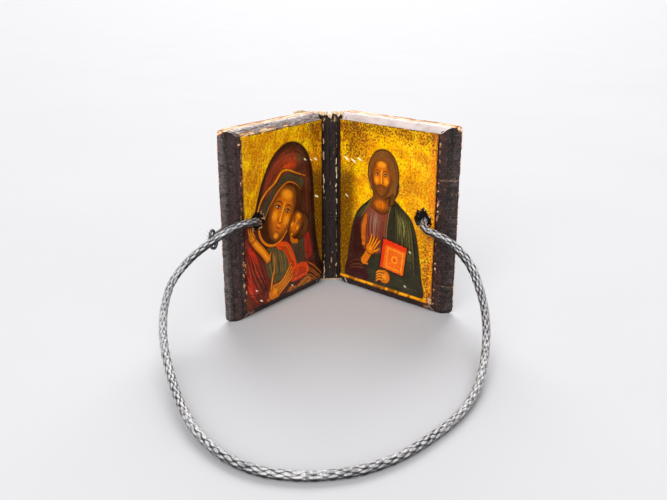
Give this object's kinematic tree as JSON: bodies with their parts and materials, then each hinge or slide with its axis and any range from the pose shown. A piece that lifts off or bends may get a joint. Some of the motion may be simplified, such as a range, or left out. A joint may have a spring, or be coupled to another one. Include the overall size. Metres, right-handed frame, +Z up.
{
  "type": "travel diptych icon",
  "caption": "Small wooden travel diptych standing open: a picture on gold ground on each leaf, leather spine, braided carrying cord.",
  "frame": {"origin": "on the surface it stands on, under the middle of the body without its cord", "axes": "+Z up, -Y the way the open pictures face, +X towards the leaf with the bearded figure"},
  "size_m": [0.0926, 0.1175, 0.0606],
  "materials": {
    "leaf_wood": "dark stain, saw marks, worn to bare wood along the edges",
    "picture_left": "painted picture on mottled ochre gold, varnished, worn",
    "picture_right": "painted picture on yellow gold with dark specks, varnished",
    "spine_leather": "worn dark leather",
    "waxed_cord": "black braided cord, waxed to a silvery sheen"
  },
  "bodies": {
    "spine": {"spine_strip": "spine_leather"},
    "leaf_left": {"leaf_left": "leaf_wood", "picture_left": "picture_left", "strip_flap_left": "spine_leather", "cord_left": "waxed_cord", "knot_left": "waxed_cord"},
    "leaf_right": {"leaf_right": "leaf_wood", "picture_right": "picture_right", "strip_flap_right": "spine_leather", "cord_right": "waxed_cord", "knot_right": "waxed_cord"}
  },
  "joints": [
    {"name": "fold_left", "type": "hinge", "parent": "spine", "child": "leaf_left", "pos_m": [-0.0063, 0.01542, 0], "axis": [0, 0, -1], "range_deg": [-38, 47.7], "deforming": ["cord_left"]},
    {"name": "fold_right", "type": "hinge", "parent": "spine", "child": "leaf_right", "pos_m": [0.0063, 0.01542, 0], "axis": [0, 0, 1], "range_deg": [-38, 47.7], "deforming": ["cord_right"]}
  ]
}
